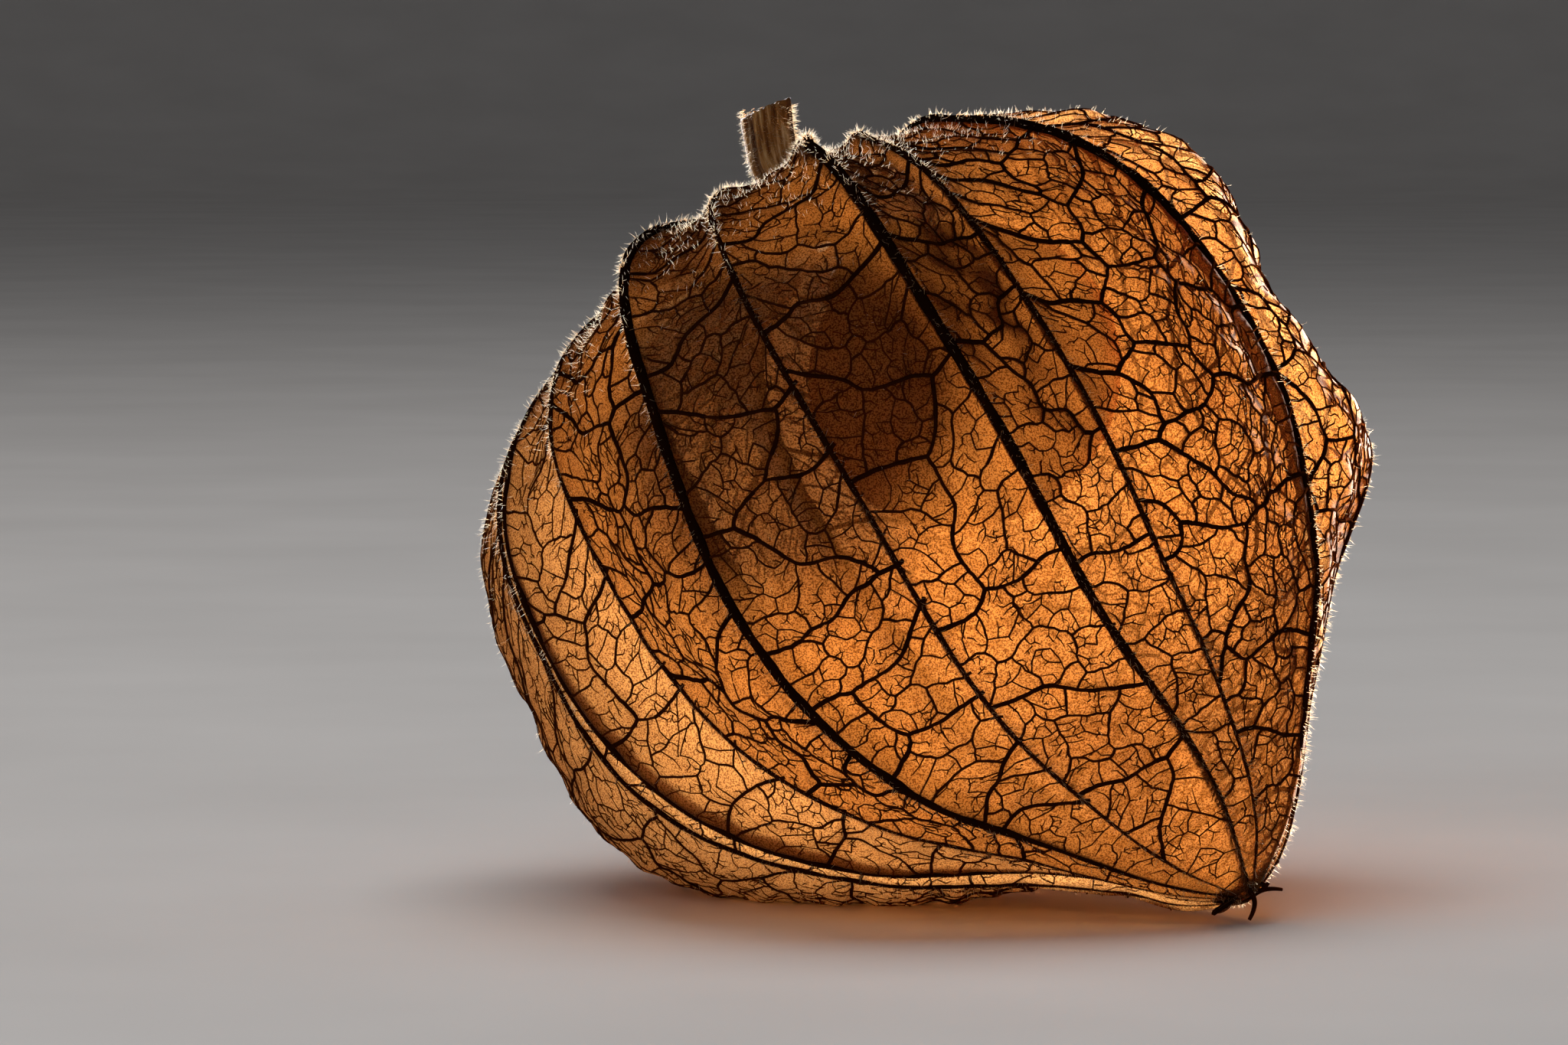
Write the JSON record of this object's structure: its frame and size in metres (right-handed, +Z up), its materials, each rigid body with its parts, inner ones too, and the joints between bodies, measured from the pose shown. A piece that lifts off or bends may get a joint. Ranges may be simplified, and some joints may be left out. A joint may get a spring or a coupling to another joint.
{
  "type": "physalis berry",
  "caption": "Berry on a short cut stem inside its closed, papery, ribbed lantern husk, lying on its side.",
  "frame": {"origin": "centre of the base of the bounding box, on the surface the fruit lies on", "axes": "+Z up; the front, -Y, is the side that the husk's pointed apex is turned towards; +X is where the apex lies and -X where the stem end lies"},
  "size_m": [0.0416, 0.037, 0.0367],
  "materials": {
    "calyx": "dry, translucent",
    "stem": "dry, fibrous",
    "fruit": "glossy skin"
  },
  "bodies": {
    "root": {"calyx_husk": "calyx", "pedicel": "stem", "berry": "fruit"}
  },
  "joints": []
}
